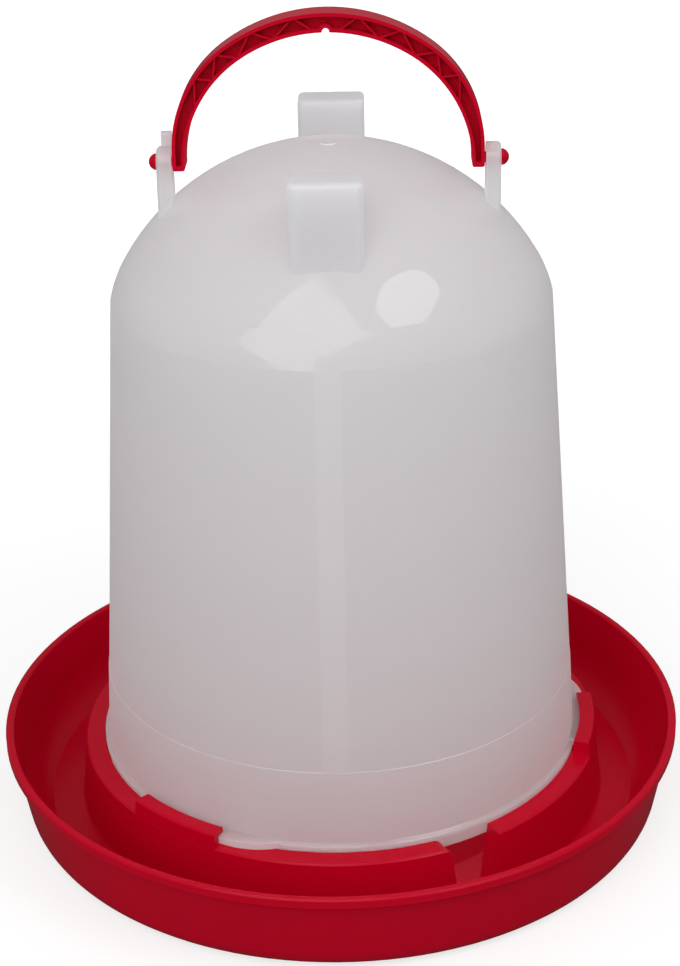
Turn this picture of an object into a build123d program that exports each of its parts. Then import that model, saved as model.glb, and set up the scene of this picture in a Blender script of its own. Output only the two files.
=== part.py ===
from build123d import *
import os
from math import atan2, cos, degrees, hypot, radians, sin, tan

# Poultry drinker: a red tray, a translucent tank that twists under three hooks of the
# tray, and a carrying handle whose two pins snap into ears on the tank.
# Origin: centre of the tray's underside, on the ground. +Z is up and -Y is the front.
# Angles round the axis are counted from the front, counter-clockwise seen from above.
# All sizes are in millimetres.

# Tray: rim and outer wall
trough_width = 34.6
rim_height = 47.5
rim_width = 3.9
rim_band = 5.5
rim_overhang = 2.8
rim_edge = 0.8
wall_slope = 10.0
foot_round = 12.0
foot_width = 4.9

# Tray: floor and trough
tray_wall = 2.4
floor_height = 5.2
trough_floor_share = 0.48
trough_curve_rise = 19.4
foot_step = 1.2
centre_margin = 25.0
centre_rise = 5.8
centre_slope = 8.0

# Tray: collar round the mouth of the tank
collar_inner_radius = 126.0
collar_width = 10.0
collar_height = 37.5
collar_outer_draft = 3.0
collar_inner_draft = 1.0
collar_edge = 0.8

# Tray: gap in the collar that lets the water out
gap_angle = 29.4
gap_floor_width = 20.0
gap_top_width = 27.0
gap_corner_round = 4.0
gap_foot_round = 4.0

# Tray: hooks over the tongues of the tank
hook_count = 3
hook_centre = -37.0
hook_span = 22.2
hook_stop_span = 3.1
hook_height = 7.3
hook_lean = 1.0
hook_overhang = 1.3
hook_plate = 2.6
hook_outer_wall = 3.3
hook_edge_round = 1.4
hook_inset = 0.8

# Clearances between pieces that move
seat_gap = 0.3
mouth_gap = 0.35
tongue_end_gap = 0.35
tongue_edge_gap = 0.5
pin_play = 0.06
ear_side_gap = 0.9
head_gap = 0.35

# Tank: mouth, bead and skirt
tank_wall = 2.0
lip_depth = 6.3
lip_setback = 0.9
lip_taper = 0.3
bead_height = 2.6
bead_proud = 2.0
bead_edge = 0.6
skirt_height = 39.2
skirt_taper = 2.55
ledge_width = 0.3

# Tank: wall and dome
shoulder_height = 278.4
wall_taper = 13.7
dome_start_angle = 13.6
dome_side_radius = 58.3
dome_turn_angle = 30.8

# Tank: tongues, measured round the axis from the start of a hook
tongue_thickness = 3.6
tongue_root = 1.0
tongue_full_angle = 25.5
tongue_taper_angle = 31.1
tongue_end_angle = 35.5
tongue_taper_drop = 2.0

# Tank: raised bands down the front and the back
band_width = 12.0
band_proud = 0.3
band_rise = 12.0

# Tank: two lugs, the feet when it stands upside down for filling
lug_width = 33.5
lug_outer = 84.0
lug_depth = 20.0
lug_rise = 4.3
lug_side_round = 3.5
lug_top_round = 2.2

# Tank: moulding mark on the top of the dome
mark_radius = 3.8
mark_height = 0.5

# Tank: ears that carry the handle, and the tab on the left one
pin_rise = 17.95
ear_thickness = 7.0
ear_top_radius = 7.4
ear_flare = 0.07
ear_edge = 1.3
tab_height = 13.2
tab_thickness = 5.0
tab_depth = 4.0
tab_round = 1.0

# Handle: arch, measured up from the pins
arch_half_width = 73.5
arch_side_rise = 6.1
arch_side_centre = 13.7
arch_crown_angle = 35.6
leg_width = 5.8
inner_side_drop = 7.8
inner_side_centre = 6.5
inner_crown_angle = 32.4
handle_depth = 14.6
leg_drop = 2.9
leg_end_wall = 2.4
leg_end_round = 1.0
flange = 1.7
web = 2.0

# Handle: notch for a hanging hook, zigzag ribs and snap pins
notch_radius = 1.7
notch_mouth = 3.2
notch_depth = 2.0
rib_thickness = 0.8
rib_below_face = 1.0
rib_bays = 4
rib_first = 4.7
rib_pitch = 14.5
rib_rise = 5.9
pin_radius = 2.6
pin_head_radius = 3.9
pin_head_edge = 0.7
pin_head_length = 3.6

os.makedirs("parts", exist_ok=True)


def radial_plane(angle):
    """Upright plane through the axis; its X runs outwards and its Y runs up."""
    turn = radians(angle - 90)
    outwards = (cos(turn), sin(turn), 0)
    return Plane(origin=(0, 0, 0), x_dir=outwards, z_dir=(sin(turn), -cos(turn), 0))


def facing_plane(angle, radius):
    """Upright plane across the radius; its normal runs outwards and its Y runs up."""
    turn = radians(angle - 90)
    outwards = (cos(turn), sin(turn), 0)
    place = (radius * cos(turn), radius * sin(turn), 0)
    return Plane(origin=place, x_dir=(-sin(turn), cos(turn), 0), z_dir=outwards)


def in_plan(radius, angle):
    """Point in plan at a radius and an angle from the front."""
    turn = radians(angle - 90)
    return (radius * cos(turn), radius * sin(turn))


def corner(sketch, across, up):
    """The sketch's vertex nearest to a place in its own plane."""
    return sketch.vertices().sort_by_distance((across, up, 0))[0]


# Places on the tray's section
wall_run = tan(radians(wall_slope))
band_bottom = rim_height - rim_band
collar_outer_radius = collar_inner_radius + collar_width
collar_foot_radius = collar_outer_radius + collar_outer_draft
collar_inner_foot = collar_inner_radius - collar_inner_draft
rim_inner_radius = collar_foot_radius + trough_width
rim_radius = rim_inner_radius + rim_width
wall_top_radius = rim_radius - rim_overhang
foot_radius = wall_top_radius - band_bottom * wall_run
curve_top = floor_height + trough_curve_rise
curve_top_radius = rim_inner_radius - (rim_height - curve_top) * wall_run
floor_underside = floor_height - tray_wall
crease_radius = collar_foot_radius + trough_floor_share * trough_width
foot_inner_radius = foot_radius - foot_round - foot_width
centre_height = floor_height + centre_rise
centre_radius = collar_inner_foot - centre_margin
centre_foot_radius = centre_radius + centre_slope

# Places on a hook
hook_start = hook_centre - hook_span / 2
hook_top = collar_height + hook_height
hook_underside = hook_top - hook_plate
hook_outer_radius = collar_outer_radius - hook_lean
hook_inner_radius = collar_inner_radius + hook_overhang
hook_slot_radius = hook_outer_radius - hook_outer_wall
hook_root = collar_height - hook_inset

# Space under the collar's top: open below, closed off beside the water gap
with BuildPart() as collar_hollow:
    with BuildSketch(radial_plane(0)):
        with BuildLine():
            Polyline(
                (collar_inner_foot + tray_wall, -tray_wall),
                (collar_inner_radius + tray_wall, collar_height - tray_wall),
                (collar_outer_radius - tray_wall, collar_height - tray_wall),
                (collar_foot_radius - tray_wall, -tray_wall),
                close=True,
            )
        make_face()
    revolve(axis=Axis.Z)
    with BuildSketch(facing_plane(gap_angle, collar_inner_foot - tray_wall)):
        with BuildLine():
            Polyline(
                (-gap_floor_width / 2 - tray_wall, -2 * tray_wall),
                (gap_floor_width / 2 + tray_wall, -2 * tray_wall),
                (gap_top_width / 2 + tray_wall, collar_height),
                (-gap_top_width / 2 - tray_wall, collar_height),
                close=True,
            )
        make_face()
    extrude(amount=collar_foot_radius - collar_inner_foot + 2 * tray_wall, mode=Mode.SUBTRACT)

# One hook: an outer wall, a plate over the tongue and a solid end that stops the tongue
with BuildPart() as hook:
    with BuildSketch(radial_plane(hook_start)) as hook_section:
        with BuildLine():
            Polyline(
                (hook_inner_radius, hook_underside),
                (hook_inner_radius, hook_top),
                (hook_outer_radius, hook_top),
                (collar_outer_radius, hook_root),
                (hook_slot_radius, hook_root),
                (hook_slot_radius, hook_underside),
                close=True,
            )
        make_face()
        fillet(corner(hook_section, hook_outer_radius, hook_top), hook_edge_round)
    revolve(axis=Axis.Z, revolution_arc=hook_span)
    with BuildSketch(radial_plane(hook_start)):
        with BuildLine():
            Polyline(
                (hook_inner_radius, hook_root),
                (hook_inner_radius, hook_underside + hook_inset),
                (hook_slot_radius + hook_inset, hook_underside + hook_inset),
                (hook_slot_radius + hook_inset, hook_root),
                close=True,
            )
        make_face()
    revolve(axis=Axis.Z, revolution_arc=hook_stop_span)

with BuildPart() as tray:
    with BuildSketch(radial_plane(0)) as tray_section:
        with BuildLine():
            Polyline(
                (0, centre_height),
                (centre_radius, centre_height),
                (centre_foot_radius, floor_height),
                (collar_inner_foot, floor_height),
                (collar_inner_radius, collar_height),
                (collar_outer_radius, collar_height),
                (collar_foot_radius, floor_height),
                (crease_radius, floor_height),
            )
            TangentArc(
                (curve_top_radius, curve_top),
                (crease_radius, floor_height),
                tangent=(-wall_run, -1),
            )
            Polyline(
                (curve_top_radius, curve_top),
                (rim_inner_radius, rim_height),
                (rim_radius, rim_height),
                (rim_radius, band_bottom),
                (wall_top_radius, band_bottom),
                (foot_radius, 0),
                (foot_inner_radius, 0),
                (foot_inner_radius - foot_step, floor_underside),
                (centre_foot_radius - foot_step, floor_underside),
                (centre_radius - foot_step, centre_height - tray_wall),
                (0, centre_height - tray_wall),
                (0, centre_height),
            )
        make_face()
        fillet(corner(tray_section, foot_radius, 0), foot_round)
        chamfer(corner(tray_section, rim_radius, rim_height), rim_edge)
        chamfer(corner(tray_section, rim_radius, band_bottom), rim_edge)
        chamfer(corner(tray_section, rim_inner_radius, rim_height), rim_edge)
        chamfer(corner(tray_section, collar_outer_radius, collar_height), collar_edge)
        chamfer(corner(tray_section, collar_foot_radius, floor_height), collar_edge)
    revolve(axis=Axis.Z)
    with BuildSketch(facing_plane(gap_angle, collar_inner_foot - tray_wall)) as gap_face:
        with BuildLine():
            Polyline(
                (-gap_floor_width / 2, floor_height),
                (gap_floor_width / 2, floor_height),
                (gap_top_width / 2, collar_height),
                (gap_top_width / 2, rim_height),
                (-gap_top_width / 2 - gap_corner_round, rim_height),
                (-gap_top_width / 2 - gap_corner_round, collar_height),
                (-gap_top_width / 2, collar_height),
                close=True,
            )
        make_face()
        fillet(corner(gap_face, -gap_top_width / 2, collar_height), gap_corner_round - 0.1)
        for side in (-1, 1):
            fillet(corner(gap_face, side * gap_floor_width / 2, floor_height), gap_foot_round)
    extrude(amount=collar_foot_radius - collar_inner_foot + 2 * tray_wall, mode=Mode.SUBTRACT)
    add(collar_hollow.part, mode=Mode.SUBTRACT)
    with PolarLocations(0, hook_count):
        add(hook.part)
tray.part.label = "tray"
export_step(tray.part, "parts/tray.step")

# Places on the tank's section
bead_bottom = collar_height + seat_gap
bead_top = bead_bottom + bead_height
bead_radius = collar_inner_radius - mouth_gap
skirt_radius = bead_radius - bead_proud
lip_bottom = bead_bottom - lip_depth
lip_radius = bead_radius - lip_setback
ledge_height = bead_top + skirt_height
ledge_radius = skirt_radius - skirt_taper
ledge_outer_radius = ledge_radius + ledge_width
shoulder_radius = ledge_radius - wall_taper
dome_start = radians(dome_start_angle)
dome_turn = radians(dome_turn_angle)
dome_side_centre = shoulder_radius - dome_side_radius * cos(dome_start)
dome_side_level = shoulder_height - dome_side_radius * sin(dome_start)
crown_radius = dome_side_radius + dome_side_centre / cos(dome_turn)
crown_level = dome_side_level - dome_side_centre * tan(dome_turn)
dome_top = crown_level + crown_radius


def draw_dome(inset):
    """Section of the dome from the shoulder to the axis, moved inwards by the inset."""
    side = dome_side_radius - inset
    shoulder = (dome_side_centre + side * cos(dome_start), dome_side_level + side * sin(dome_start))
    turn = (dome_side_centre + side * cos(dome_turn), dome_side_level + side * sin(dome_turn))
    TangentArc(shoulder, turn, tangent=(-sin(dome_start), cos(dome_start)))
    TangentArc(turn, (0, dome_top - inset), tangent=(-sin(dome_turn), cos(dome_turn)))
    return shoulder


def tongue_edge(radius, first, last):
    """Arc in plan about the tank's axis."""
    ThreePointArc(
        in_plan(radius, first),
        in_plan(radius, (first + last) / 2),
        in_plan(radius, last),
    )


# The air inside the tank, open at the mouth
with BuildPart() as tank_inside:
    with BuildSketch(radial_plane(0)):
        with BuildLine():
            inner_shoulder = draw_dome(tank_wall)
            Polyline(
                inner_shoulder,
                (ledge_radius - tank_wall, ledge_height),
                (lip_radius - lip_taper - tank_wall, lip_bottom),
                (lip_radius - lip_taper - tank_wall, lip_bottom - lip_depth),
                (0, lip_bottom - lip_depth),
                (0, dome_top - tank_wall),
            )
        make_face()
    revolve(axis=Axis.Z)

# One raised band, cut out of a tank that is a little larger
with BuildPart() as band:
    with BuildSketch(radial_plane(0)):
        with BuildLine():
            outer_shoulder = draw_dome(-band_proud)
            Polyline(
                outer_shoulder,
                (ledge_outer_radius, ledge_height),
                (0, ledge_height),
                (0, dome_top + band_proud),
            )
        make_face()
    revolve(axis=Axis.Z)
    with BuildSketch(Plane.XZ):
        band_length = shoulder_height + band_rise - band_width / 2 - ledge_height
        with Locations((0, ledge_height + band_length / 2)):
            Rectangle(band_width, band_length)
        with Locations((0, ledge_height + band_length)):
            Circle(band_width / 2)
    extrude(amount=shoulder_radius + ledge_radius, mode=Mode.INTERSECT)

# One lug and the hollow behind it
lug_middle = lug_outer - lug_depth / 2
lug_height = dome_top + lug_rise
with BuildPart() as lug:
    with BuildSketch(Plane.XY.offset(shoulder_height)):
        with Locations((0, -lug_middle)):
            RectangleRounded(lug_width, lug_depth, lug_side_round)
    extrude(amount=lug_height - shoulder_height)
    fillet(lug.faces().sort_by(Axis.Z)[-1].edges(), lug_top_round)
with BuildPart() as lug_hollow:
    with BuildSketch(Plane.XY.offset(shoulder_height)):
        with Locations((0, -lug_middle)):
            Rectangle(lug_width - 2 * tank_wall, lug_depth - 2 * tank_wall)
    extrude(amount=lug_height - tank_wall - shoulder_height)

# One ear: a post with a round top about the pin, reaching down into the dome
ear_inner = arch_half_width + ear_side_gap
ear_outer = ear_inner + ear_thickness
leg_level = crown_level + (crown_radius**2 - arch_half_width**2) ** 0.5
pin_height = leg_level + pin_rise
ear_foot_half = ear_top_radius + (pin_height - shoulder_height) * ear_flare
with BuildPart() as ear:
    with BuildSketch(Plane.YZ.offset(ear_inner)):
        with BuildLine():
            ThreePointArc(
                (ear_top_radius, pin_height),
                (0, pin_height + ear_top_radius),
                (-ear_top_radius, pin_height),
            )
            Polyline(
                (-ear_top_radius, pin_height),
                (-ear_foot_half, shoulder_height),
                (ear_foot_half, shoulder_height),
                (ear_top_radius, pin_height),
            )
        make_face()
    extrude(amount=ear_thickness)
    chamfer(ear.faces().sort_by(Axis.X)[-1].edges().sort_by(Axis.Z)[-1], ear_edge)

# One tongue: it runs along the bead and narrows to its leading end
tongue_radius = hook_slot_radius - tongue_edge_gap
tongue_root_radius = skirt_radius - tongue_root
tongue_start = hook_start + hook_stop_span + degrees(tongue_end_gap / tongue_radius)
tongue_full = hook_start + tongue_full_angle
tongue_taper = hook_start + tongue_taper_angle
tongue_end = hook_start + tongue_end_angle
with BuildPart() as tongue:
    with BuildSketch(Plane.XY.offset(bead_bottom)):
        with BuildLine():
            tongue_edge(tongue_root_radius, tongue_start, tongue_end)
            tongue_edge(tongue_radius, tongue_start, tongue_full)
            Line(in_plan(tongue_root_radius, tongue_start), in_plan(tongue_radius, tongue_start))
            ThreePointArc(
                in_plan(tongue_radius, tongue_full),
                in_plan(tongue_radius - tongue_taper_drop, tongue_taper),
                in_plan(bead_radius - mouth_gap, tongue_end),
            )
            Line(
                in_plan(bead_radius - mouth_gap, tongue_end),
                in_plan(tongue_root_radius, tongue_end),
            )
        make_face()
    extrude(amount=tongue_thickness)

with BuildPart() as tank:
    with BuildSketch(radial_plane(0)) as tank_section:
        with BuildLine():
            shoulder = draw_dome(0)
            Polyline(
                shoulder,
                (ledge_radius, ledge_height),
                (ledge_outer_radius, ledge_height - ledge_width),
                (skirt_radius, bead_top),
                (bead_radius, bead_top),
                (bead_radius, bead_bottom),
                (lip_radius, bead_bottom),
                (lip_radius - lip_taper, lip_bottom),
                (0, lip_bottom),
                (0, dome_top),
            )
        make_face()
        chamfer(corner(tank_section, bead_radius, bead_top), bead_edge)
        chamfer(corner(tank_section, skirt_radius, bead_top), bead_edge)
    revolve(axis=Axis.Z)
    with PolarLocations(0, 2):
        add(band.part)
        add(lug.part)
        add(ear.part)
    with PolarLocations(0, hook_count):
        add(tongue.part)
    with BuildSketch(Plane.XY.offset(dome_top - tank_wall / 2)):
        Circle(mark_radius)
    extrude(amount=tank_wall / 2 + mark_height)
    with BuildSketch(Plane.YZ.offset(-ear_inner)) as tab_face:
        with Locations((ear_top_radius - tab_depth / 2, pin_height + tab_height / 2)):
            Rectangle(tab_depth, tab_height)
        fillet(corner(tab_face, ear_top_radius - tab_depth, pin_height + tab_height), tab_round)
        fillet(corner(tab_face, ear_top_radius, pin_height + tab_height), tab_round)
    extrude(amount=-tab_thickness)
    add(tank_inside.part, mode=Mode.SUBTRACT)
    with PolarLocations(0, 2):
        add(lug_hollow.part, mode=Mode.SUBTRACT)
    for ear_face in (-ear_outer, ear_inner):
        with BuildSketch(Plane.YZ.offset(ear_face)):
            with Locations((0, pin_height)):
                Circle(pin_radius + pin_play)
        extrude(amount=ear_thickness, mode=Mode.SUBTRACT)
tank.part.label = "tank"
export_step(tank.part, "parts/tank.step")


def arch_arcs(half_width, side_rise, side_x, crown_angle, inset):
    """Centres and radii of an arch's side arcs and crown arc, moved inwards by the inset."""
    side_z = pin_height + side_rise
    side_radius = half_width - side_x - inset
    top_z = side_z - side_x / tan(radians(crown_angle))
    top_radius = side_radius + side_x / sin(radians(crown_angle))
    return side_x, side_z, side_radius, top_z, top_radius, crown_angle


def arch_point(arcs, lean):
    """Point of an arch where it faces away from upright by an angle."""
    side_x, side_z, side_radius, top_z, top_radius, crown_angle = arcs
    across = sin(radians(lean))
    up = cos(radians(lean))
    if abs(lean) <= crown_angle:
        return (top_radius * across, top_z + top_radius * up)
    side_x = side_x if lean > 0 else -side_x
    return (side_x + side_radius * across, side_z + side_radius * up)


def draw_arch(arcs, foot):
    """Closed outline of everything under an arch, down to the level of its feet."""
    side_x, side_z, side_radius, top_z, top_radius, crown_angle = arcs
    leg_x = side_x + side_radius
    right_meeting = arch_point(arcs, crown_angle)
    left_meeting = arch_point(arcs, -crown_angle)
    TangentArc((leg_x, side_z), right_meeting, tangent=(0, 1))
    ThreePointArc(right_meeting, (0, top_z + top_radius), left_meeting)
    TangentArc((-leg_x, side_z), left_meeting, tangent=(0, 1))
    Polyline((leg_x, side_z), (leg_x, foot), (-leg_x, foot), (-leg_x, side_z))


# The four arches of the handle: its outer and inner edges and the two walls of the channel
inner_half_width = arch_half_width - leg_width
inner_side_rise = arch_side_rise - inner_side_drop
outer_size = (arch_half_width, arch_side_rise, arch_side_centre, arch_crown_angle)
inner_size = (inner_half_width, inner_side_rise, inner_side_centre, inner_crown_angle)
outer_edge = arch_arcs(*outer_size, 0)
channel_top = arch_arcs(*outer_size, flange)
channel_bottom = arch_arcs(*inner_size, -flange)
inner_edge = arch_arcs(*inner_size, 0)
rib_head_line = arch_arcs(*outer_size, flange / 2)
rib_foot_line = arch_arcs(*inner_size, -flange / 2)
leg_end = pin_height - leg_drop
channel_end = leg_end + leg_end_wall
channel_depth = (handle_depth - web) / 2
notch_level = arch_point(inner_edge, 0)[1] + notch_depth - notch_radius

# Channel between the flanges, one side of the handle
with BuildPart() as channel:
    with BuildSketch(Plane.XZ.offset(web / 2)):
        with BuildLine():
            draw_arch(channel_top, channel_end)
        make_face()
        with BuildLine():
            draw_arch(channel_bottom, channel_end - flange)
        make_face(mode=Mode.SUBTRACT)
        with Locations((0, notch_level)):
            Circle(notch_radius + flange, mode=Mode.SUBTRACT)
    extrude(amount=channel_depth)

# Zigzag ribs that cross the channel on both sides of the web
with BuildPart() as ribs:
    with BuildSketch(Plane.XZ) as rib_lines:
        for side in (-1, 1):
            for bay in range(rib_bays):
                foot_lean = rib_first + bay * rib_pitch
                head_lean = foot_lean + rib_rise
                next_lean = foot_lean + rib_pitch
                for lean in (foot_lean, next_lean):
                    foot_place = arch_point(rib_foot_line, side * lean)
                    head_place = arch_point(rib_head_line, side * head_lean)
                    run = head_place[0] - foot_place[0]
                    rise = head_place[1] - foot_place[1]
                    middle = (foot_place[0] + run / 2, foot_place[1] + rise / 2)
                    with Locations(middle):
                        Rectangle(hypot(run, rise), rib_thickness, rotation=degrees(atan2(rise, run)))
    extrude(amount=handle_depth / 2 - rib_below_face, both=True)

# One snap pin with its domed head
head_start = ear_outer + head_gap
with BuildPart() as pin:
    with BuildSketch(Plane.XZ):
        with BuildLine():
            Polyline(
                (arch_half_width - flange, pin_height),
                (arch_half_width - flange, pin_height + pin_radius),
                (head_start, pin_height + pin_radius),
                (head_start, pin_height + pin_head_radius),
                (head_start + pin_head_edge, pin_height + pin_head_radius),
            )
            TangentArc(
                (head_start + pin_head_length, pin_height),
                (head_start + pin_head_edge, pin_height + pin_head_radius),
                tangent=(0, 1),
            )
            Line((head_start + pin_head_length, pin_height), (arch_half_width - flange, pin_height))
        make_face()
    revolve(axis=Axis((0, 0, pin_height), (1, 0, 0)))

with BuildPart() as handle:
    with BuildSketch(Plane.XZ) as arch_face:
        with BuildLine():
            draw_arch(outer_edge, leg_end)
        make_face()
        with BuildLine():
            draw_arch(inner_edge, leg_end - flange)
        make_face(mode=Mode.SUBTRACT)
        with Locations((0, notch_level)):
            Circle(notch_radius, mode=Mode.SUBTRACT)
        with BuildLine():
            Polyline(
                (-notch_mouth, notch_level - notch_depth),
                (notch_mouth, notch_level - notch_depth),
                (notch_radius, notch_level),
                (-notch_radius, notch_level),
                close=True,
            )
        make_face(mode=Mode.SUBTRACT)
        for side in (-1, 1):
            fillet(corner(arch_face, side * arch_half_width, leg_end), leg_end_round)
            fillet(corner(arch_face, side * inner_half_width, leg_end), leg_end_round)
    extrude(amount=handle_depth / 2, both=True)
    with PolarLocations(0, 2):
        add(channel.part, mode=Mode.SUBTRACT)
    add(ribs.part)
    with PolarLocations(0, 2):
        add(pin.part)
handle.part.label = "handle"
export_step(handle.part, "parts/handle.step")
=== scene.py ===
from math import cos, radians, sin
import bpy
from mathutils import Matrix, Vector

# Poultry drinker: milky tank on a red tray, with a red carrying handle, on a white studio floor.

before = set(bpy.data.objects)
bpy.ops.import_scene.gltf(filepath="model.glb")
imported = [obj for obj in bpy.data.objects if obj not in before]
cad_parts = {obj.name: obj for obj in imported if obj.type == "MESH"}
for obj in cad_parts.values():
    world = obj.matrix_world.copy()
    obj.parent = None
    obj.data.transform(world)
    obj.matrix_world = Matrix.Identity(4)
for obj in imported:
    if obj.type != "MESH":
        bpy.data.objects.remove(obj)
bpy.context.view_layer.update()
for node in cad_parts.values():
    node.select_set(False)
print("frame loaded:", sorted(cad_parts))


# camera, at the photograph's place and angle
photoView = {
    "place": (0.0226, -0.9258, 0.6024),
    "heading": -1.264,   # degrees to the right of straight back
    "downwards": 24.78,
    "roll": -1.2,
    "lens": 74.7,
    "sensor": 36,        # the long side of the picture
    "nearest": 0.01,
}


def addCamera(view):
    data = bpy.data.cameras.new("photoCamera")
    data.sensor_fit = "AUTO"
    data.sensor_width = view["sensor"]
    data.lens = view["lens"]
    data.clip_start = view["nearest"]
    camera = bpy.data.objects.new("photoCamera", data)
    bpy.context.scene.collection.objects.link(camera)
    turn = Matrix.Rotation(radians(-view["heading"]), 4, "Z")
    tilt = Matrix.Rotation(radians(90 - view["downwards"]), 4, "X")
    roll = Matrix.Rotation(radians(view["roll"]), 4, "Z")
    camera.matrix_world = Matrix.Translation(view["place"]) @ turn @ tilt @ roll
    bpy.context.scene.camera = camera


addCamera(photoView)
print("camera placed")


# helpers for node trees
def addNode(tree, kind, **values):
    node = tree.nodes.new(kind)
    for name, value in values.items():
        setattr(node, name, value)
    return node


def newMaterial(name):
    material = bpy.data.materials.new(name)
    material.use_nodes = True
    tree = material.node_tree
    tree.nodes.clear()
    output = addNode(tree, "ShaderNodeOutputMaterial", location=(700, 0))
    return material, tree, output


def mixByRay(tree, rays, kind, usual, other):
    mix = addNode(tree, "ShaderNodeMixShader")
    tree.links.new(rays.outputs[kind], mix.inputs["Fac"])
    tree.links.new(usual.outputs[0], mix.inputs[1])
    tree.links.new(other.outputs[0], mix.inputs[2])
    return mix


# room: dim and even for the light, darker in gloss, white for the camera and through the tank
room = {
    "colour": (0.96, 0.98, 1.0, 1),
    "strength": 0.42,
    "strengthInGloss": 0.25,
    "white": (1, 1, 1, 1),
}


def addBackground(tree, colour, strength):
    background = addNode(tree, "ShaderNodeBackground")
    background.inputs["Color"].default_value = colour
    background.inputs["Strength"].default_value = strength
    return background


def buildRoom(settings):
    world = bpy.data.worlds.new("studioRoom")
    world.use_nodes = True
    bpy.context.scene.world = world
    tree = world.node_tree
    tree.nodes.clear()
    rays = addNode(tree, "ShaderNodeLightPath")
    even = addBackground(tree, settings["colour"], settings["strength"])
    dim = addBackground(tree, settings["colour"], settings["strengthInGloss"])
    white = addBackground(tree, settings["white"], 1)
    lit = mixByRay(tree, rays, "Is Glossy Ray", even, dim)
    through = mixByRay(tree, rays, "Is Transmission Ray", lit, white)
    seen = mixByRay(tree, rays, "Is Camera Ray", through, white)
    output = addNode(tree, "ShaderNodeOutputWorld")
    tree.links.new(seen.outputs[0], output.inputs["Surface"])


buildRoom(room)
print("room built")


# floor: grey paper that the camera sees as white, with the object's shadow left on it
floorPaper = {
    "size": 14.0,
    "height": -0.0002,   # just under the foot ring
    "colour": (0.42, 0.42, 0.42, 1),
    "colourInGloss": (0.12, 0.12, 0.12, 1),
    "glowNear": 0.70,    # for the camera only, beside the object
    "glowFar": 1.0,
    "glowReach": 1.3,    # where it is all white, from the middle
}


def addPaper(tree, colour):
    paper = addNode(tree, "ShaderNodeBsdfDiffuse")
    paper.inputs["Color"].default_value = colour
    return paper


def addGlow(tree, rays, settings):
    place = addNode(tree, "ShaderNodeTexCoord")
    away = addNode(tree, "ShaderNodeVectorMath", operation="LENGTH")
    fade = addNode(tree, "ShaderNodeMapRange", interpolation_type="SMOOTHSTEP")
    fade.inputs["From Max"].default_value = settings["glowReach"]
    fade.inputs["To Min"].default_value = settings["glowNear"]
    fade.inputs["To Max"].default_value = settings["glowFar"]
    strength = addNode(tree, "ShaderNodeMath", operation="MULTIPLY")
    glow = addNode(tree, "ShaderNodeEmission")
    tree.links.new(place.outputs["Object"], away.inputs[0])
    tree.links.new(away.outputs["Value"], fade.inputs["Value"])
    tree.links.new(rays.outputs["Is Camera Ray"], strength.inputs[0])
    tree.links.new(fade.outputs["Result"], strength.inputs[1])
    tree.links.new(strength.outputs[0], glow.inputs["Strength"])
    return glow


def makePaper(settings):
    material, tree, output = newMaterial("studioPaper")
    rays = addNode(tree, "ShaderNodeLightPath")
    paper = addPaper(tree, settings["colour"])
    dimPaper = addPaper(tree, settings["colourInGloss"])
    seen = mixByRay(tree, rays, "Is Glossy Ray", paper, dimPaper)
    glow = addGlow(tree, rays, settings)
    together = addNode(tree, "ShaderNodeAddShader")
    tree.links.new(seen.outputs[0], together.inputs[0])
    tree.links.new(glow.outputs[0], together.inputs[1])
    tree.links.new(together.outputs[0], output.inputs["Surface"])
    return material


def buildFloor(settings):
    bpy.ops.object.select_all(action="DESELECT")
    bpy.ops.mesh.primitive_plane_add(size=settings["size"], location=(0, 0, settings["height"]))
    floor = bpy.context.object
    floor.name = "studioFloor"
    floor.data.materials.append(makePaper(settings))


buildFloor(floorPaper)
print("floor laid")


# lamps, all turned to the middle of the drinker
lampTarget = (0, 0, 0.25)

softboxFront = {
    "name": "softboxFront",
    "shape": "RECTANGLE",
    "aside": -15.8,   # degrees to the right of the front
    "up": 33.9,
    "distance": 1.43,
    "width": 1.36,
    "height": 1.06,
    "turn": 51.2,
    "watts": 8.5,
}

umbrellaRight = {
    "name": "umbrellaRight",
    "shape": "ELLIPSE",
    "aside": 54.0,
    "up": 47.3,
    "distance": 1.56,
    "width": 0.90,
    "height": 0.56,
    "turn": 0,
    "watts": 4.0,
}


def addLamp(settings, target):
    data = bpy.data.lights.new(settings["name"], "AREA")
    data.shape = settings["shape"]
    data.size = settings["width"]
    data.size_y = settings["height"]
    data.energy = settings["watts"]
    lamp = bpy.data.objects.new(settings["name"], data)
    bpy.context.scene.collection.objects.link(lamp)
    aside = radians(settings["aside"])
    up = radians(settings["up"])
    away = Vector((sin(aside) * cos(up), -cos(aside) * cos(up), sin(up)))
    place = Vector(target) + away * settings["distance"]
    facing = away.to_track_quat("Z", "Y").to_matrix().to_4x4()
    turn = Matrix.Rotation(radians(settings["turn"]), 4, "Z")
    lamp.matrix_world = Matrix.Translation(place) @ facing @ turn


addLamp(softboxFront, lampTarget)
addLamp(umbrellaRight, lampTarget)
bpy.context.scene.view_settings.view_transform = "Standard"
print("lamps placed")


# red plastic of the tray and the handle
redPlastic = {
    "colour": (0.68, 0.0006, 0.023, 1),
    "deepColour": (0.60, 0.0004, 0.018, 1),
    "patchScale": 9.0,
    "roughness": 0.26,
    "ior": 1.5,
    "shine": 0.12,
    "grainScale": 900.0,
    "grainHeight": 0.00002,
    "waveScale": 45.0,
    "waveHeight": 0.00012,
}

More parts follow.
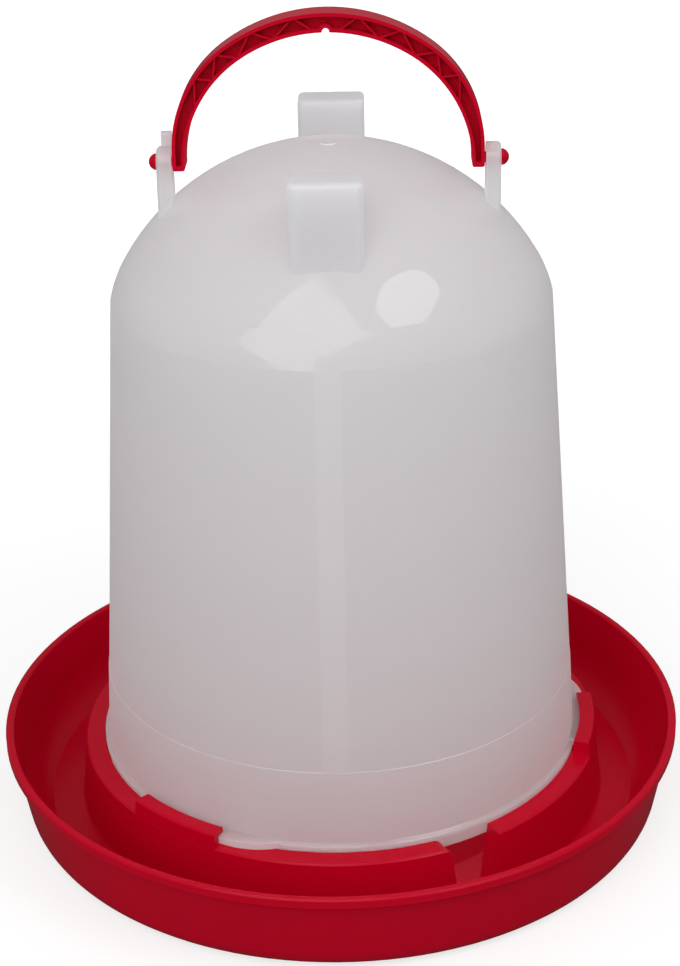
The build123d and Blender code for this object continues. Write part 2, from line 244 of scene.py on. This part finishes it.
# milky plastic of the tank
milkyPlastic = {
    "colour": (0.912, 0.908, 0.919, 1),
    "deepColour": (0.876, 0.870, 0.888, 1),
    "innerColour": (0.971, 0.971, 0.975, 1),
    "letThrough": 0.58,     # share of the light that comes through as a glow
    "clear": 0.30,
    "patchScale": 7.0,
    "roughness": 0.45,
    "ior": 1.5,
    "shine": 0.2,
    "coat": 1.0,
    "coatIor": 1.7,
    "coatRoughness": 0.02,
    "sheen": 0.9,           # lighter towards the outline
    "sheenRoughness": 0.5,
    "grainScale": 500.0,
    "grainHeight": 0.00002,
    "waveScale": 14.0,
    "waveHeight": 0.00015,
    "bandColour": (0.955, 0.952, 0.962, 1),
    "bandHalfWidth": 0.006,
    "bandFoot": 0.0796,
    "bandHead": 0.2784,
}

# detail of the three noises: uneven colour, soft waves and fine grain
patchDetail = 3
waveDetail = 1
grainDetail = 2


def addNoise(tree, place, scale, detail, location):
    noise = addNode(tree, "ShaderNodeTexNoise", location=location)
    noise.inputs["Scale"].default_value = scale
    noise.inputs["Detail"].default_value = detail
    tree.links.new(place.outputs["Object"], noise.inputs["Vector"])
    return noise


def addBump(tree, noise, height, location):
    bump = addNode(tree, "ShaderNodeBump", location=location)
    bump.inputs["Distance"].default_value = height
    tree.links.new(noise.outputs["Fac"], bump.inputs["Height"])
    return bump


def unevenColour(tree, place, settings):
    patches = addNoise(tree, place, settings["patchScale"], patchDetail, (-650, 200))
    colours = addNode(tree, "ShaderNodeMix", data_type="RGBA", location=(-350, 200))
    colours.inputs["A"].default_value = settings["deepColour"]
    colours.inputs["B"].default_value = settings["colour"]
    tree.links.new(patches.outputs["Fac"], colours.inputs["Factor"])
    return colours.outputs["Result"]


def unevenSurface(tree, place, settings):
    wave = addNoise(tree, place, settings["waveScale"], waveDetail, (-650, -100))
    grain = addNoise(tree, place, settings["grainScale"], grainDetail, (-650, -350))
    waveBump = addBump(tree, wave, settings["waveHeight"], (-350, -100))
    grainBump = addBump(tree, grain, settings["grainHeight"], (-100, -250))
    tree.links.new(waveBump.outputs["Normal"], grainBump.inputs["Normal"])
    return grainBump.outputs["Normal"]


def compare(tree, operation, value, limit):
    test = addNode(tree, "ShaderNodeMath", operation=operation)
    tree.links.new(value, test.inputs[0])
    test.inputs[1].default_value = limit
    return test.outputs[0]


def multiply(tree, first, second):
    product = addNode(tree, "ShaderNodeMath", operation="MULTIPLY")
    tree.links.new(first, product.inputs[0])
    tree.links.new(second, product.inputs[1])
    return product.outputs[0]


# the raised bands down the front and the back are a little lighter than the wall
def lightenBands(tree, place, settings, colour):
    axes = addNode(tree, "ShaderNodeSeparateXYZ", location=(-700, 500))
    aside = addNode(tree, "ShaderNodeMath", operation="ABSOLUTE")
    tree.links.new(place.outputs["Object"], axes.inputs[0])
    tree.links.new(axes.outputs["X"], aside.inputs[0])
    within = compare(tree, "LESS_THAN", aside.outputs[0], settings["bandHalfWidth"])
    above = compare(tree, "GREATER_THAN", axes.outputs["Z"], settings["bandFoot"])
    below = compare(tree, "LESS_THAN", axes.outputs["Z"], settings["bandHead"])
    onBand = multiply(tree, within, multiply(tree, above, below))
    colours = addNode(tree, "ShaderNodeMix", data_type="RGBA", location=(-100, 400))
    tree.links.new(onBand, colours.inputs["Factor"])
    tree.links.new(colour, colours.inputs["A"])
    colours.inputs["B"].default_value = settings["bandColour"]
    return colours.outputs["Result"]


plasticSockets = {
    "Roughness": "roughness",
    "IOR": "ior",
    "Specular IOR Level": "shine",
    "Transmission Weight": "clear",
    "Coat Weight": "coat",
    "Coat IOR": "coatIor",
    "Coat Roughness": "coatRoughness",
    "Sheen Weight": "sheen",
    "Sheen Roughness": "sheenRoughness",
}


def mixGlow(tree, plastic, settings):
    through = addNode(tree, "ShaderNodeBsdfTranslucent", location=(300, -400))
    through.inputs["Color"].default_value = settings["innerColour"]
    mix = addNode(tree, "ShaderNodeMixShader", location=(500, 0))
    mix.inputs["Fac"].default_value = settings["letThrough"]
    tree.links.new(plastic.outputs[0], mix.inputs[1])
    tree.links.new(through.outputs[0], mix.inputs[2])
    return mix


def makePlastic(name, settings):
    material, tree, output = newMaterial(name)
    place = addNode(tree, "ShaderNodeTexCoord", location=(-900, 0))
    colour = unevenColour(tree, place, settings)
    if "bandColour" in settings:
        colour = lightenBands(tree, place, settings, colour)
    plastic = addNode(tree, "ShaderNodeBsdfPrincipled", location=(300, 0))
    for socket, key in plasticSockets.items():
        if key in settings:
            plastic.inputs[socket].default_value = settings[key]
    tree.links.new(colour, plastic.inputs["Base Color"])
    tree.links.new(unevenSurface(tree, place, settings), plastic.inputs["Normal"])
    surface = plastic
    if "letThrough" in settings:
        surface = mixGlow(tree, plastic, settings)
    tree.links.new(surface.outputs[0], output.inputs["Surface"])
    return material


def dress(nodeName, material):
    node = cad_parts[nodeName]
    node.data.materials.clear()
    node.data.materials.append(material)


red = makePlastic("redPlastic", redPlastic)
milky = makePlastic("milkyPlastic", milkyPlastic)
dress("tray", red)
dress("handle", red)
dress("tank", milky)
print("materials made")
